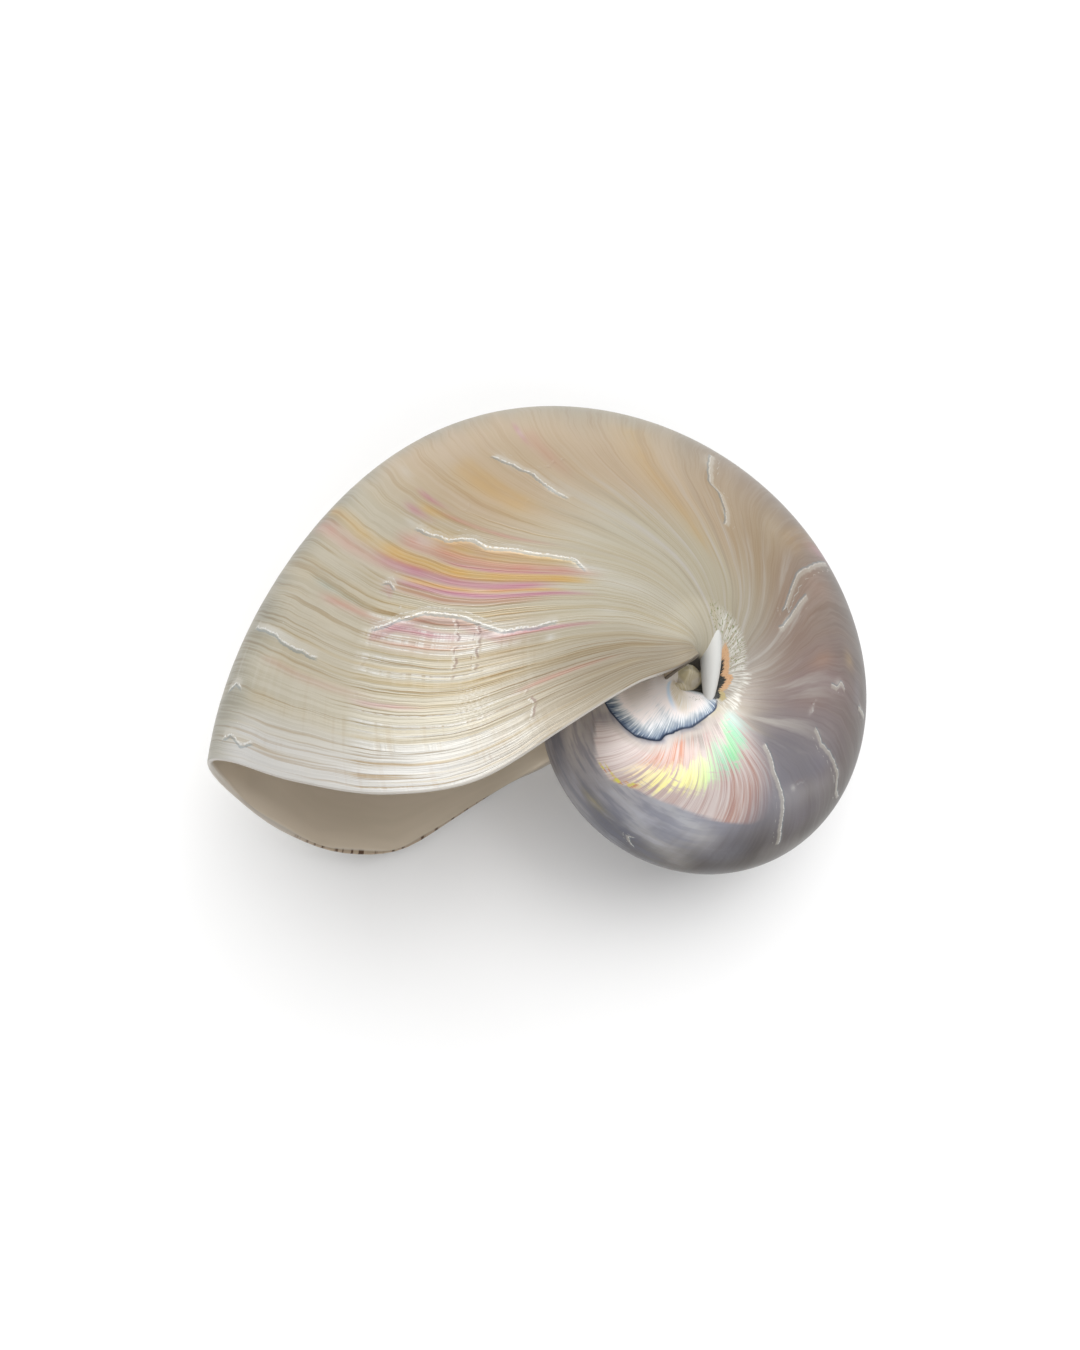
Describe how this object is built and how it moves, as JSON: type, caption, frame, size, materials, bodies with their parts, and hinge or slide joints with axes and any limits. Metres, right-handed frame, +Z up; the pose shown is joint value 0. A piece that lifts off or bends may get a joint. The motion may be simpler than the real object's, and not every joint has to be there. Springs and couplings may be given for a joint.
{
  "type": "nautilus shell",
  "caption": "Polished pearl nautilus shell lying on its flank, a thin coiled wall round an open living chamber with a wide curved mouth.",
  "frame": {"origin": "middle of the bounding box, on the surface that the shell lies on", "axes": "+Z up, away from the surface; +X along the shell's length, from the mouth's keel towards the back of the coil; +Y from the mouth's opening towards the crown of the coil"},
  "size_m": [0.1564, 0.1168, 0.0881],
  "materials": {
    "nacre": "polished nacre, satin to glossy, with fine growth lines and pearly rainbow colours"
  },
  "bodies": {
    "root": {"nautilus_shell": "nacre"}
  },
  "joints": []
}
